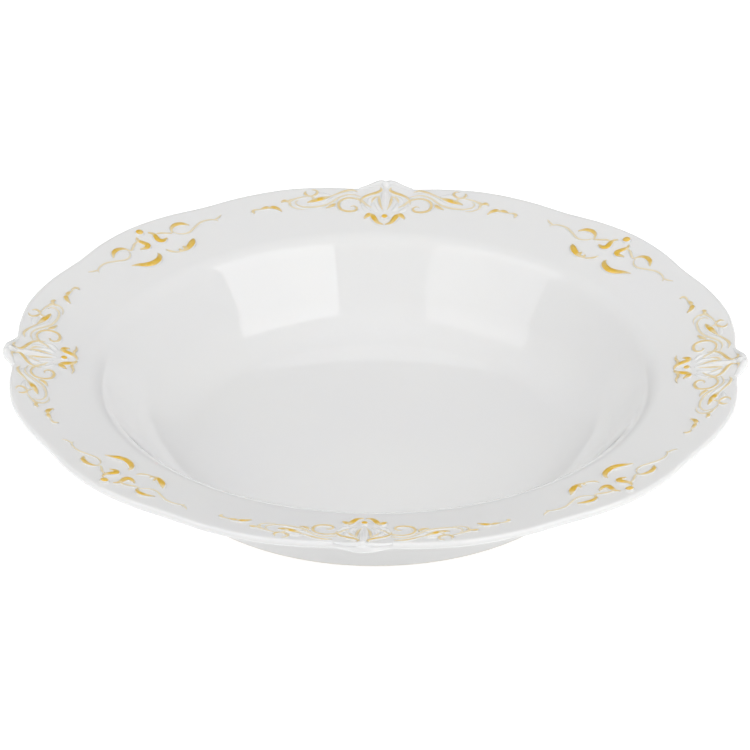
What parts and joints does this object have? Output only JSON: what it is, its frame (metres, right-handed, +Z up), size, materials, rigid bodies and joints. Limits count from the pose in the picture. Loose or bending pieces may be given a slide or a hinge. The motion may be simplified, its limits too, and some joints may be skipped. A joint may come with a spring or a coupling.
{
  "type": "serving bowl",
  "caption": "Round porcelain serving bowl with a wide scalloped rim, a foot ring and fired gold scroll and leaf ornament.",
  "frame": {"origin": "on the bowl's axis, in the plane the foot ring stands on", "axes": "+Z up along the bowl's axis; the four rim points lie on X and Y; the pictured front faces -Y"},
  "size_m": [0.2794, 0.2794, 0.0438],
  "materials": {
    "glazed_porcelain": "clear gloss glaze over white porcelain",
    "bare_porcelain": "unglazed, ground flat and smooth",
    "fired_gold": "thin burnished gold, a little worn"
  },
  "bodies": {
    "root": {"bowl_body": "glazed_porcelain", "foot_ring": "bare_porcelain", "gold_back_bud": "fired_gold", "gold_back_crest": "fired_gold", "gold_back_dot": "fired_gold", "gold_back_far_leaf_left": "fired_gold", "gold_back_far_leaf_right": "fired_gold", "gold_back_left_dot": "fired_gold", "gold_back_left_notched_leaf": "fired_gold", "gold_back_left_plain_leaf": "fired_gold", "gold_back_left_sprig_left": "fired_gold", "gold_back_left_sprig_right": "fired_gold", "gold_back_right_dot": "fired_gold", "gold_back_right_notched_leaf": "fired_gold", "gold_back_right_plain_leaf": "fired_gold", "gold_back_right_sprig_left": "fired_gold", "gold_back_right_sprig_right": "fired_gold", "gold_back_sweep_left": "fired_gold", "gold_back_sweep_right": "fired_gold", "gold_front_bud": "fired_gold", "gold_front_crest": "fired_gold", "gold_front_dot": "fired_gold", "gold_front_far_leaf_left": "fired_gold", "gold_front_far_leaf_right": "fired_gold", "gold_front_left_dot": "fired_gold", "gold_front_left_notched_leaf": "fired_gold", "gold_front_left_plain_leaf": "fired_gold", "gold_front_left_sprig_left": "fired_gold", "gold_front_left_sprig_right": "fired_gold", "gold_front_right_dot": "fired_gold", "gold_front_right_notched_leaf": "fired_gold", "gold_front_right_plain_leaf": "fired_gold", "gold_front_right_sprig_left": "fired_gold", "gold_front_right_sprig_right": "fired_gold", "gold_front_sweep_left": "fired_gold", "gold_front_sweep_right": "fired_gold", "gold_left_bud": "fired_gold", "gold_left_crest": "fired_gold", "gold_left_dot": "fired_gold", "gold_left_far_leaf_left": "fired_gold", "gold_left_far_leaf_right": "fired_gold", "gold_left_sweep_left": "fired_gold", "gold_left_sweep_right": "fired_gold", "gold_right_bud": "fired_gold", "gold_right_crest": "fired_gold", "gold_right_dot": "fired_gold", "gold_right_far_leaf_left": "fired_gold", "gold_right_far_leaf_right": "fired_gold", "gold_right_sweep_left": "fired_gold", "gold_right_sweep_right": "fired_gold"}
  },
  "joints": []
}
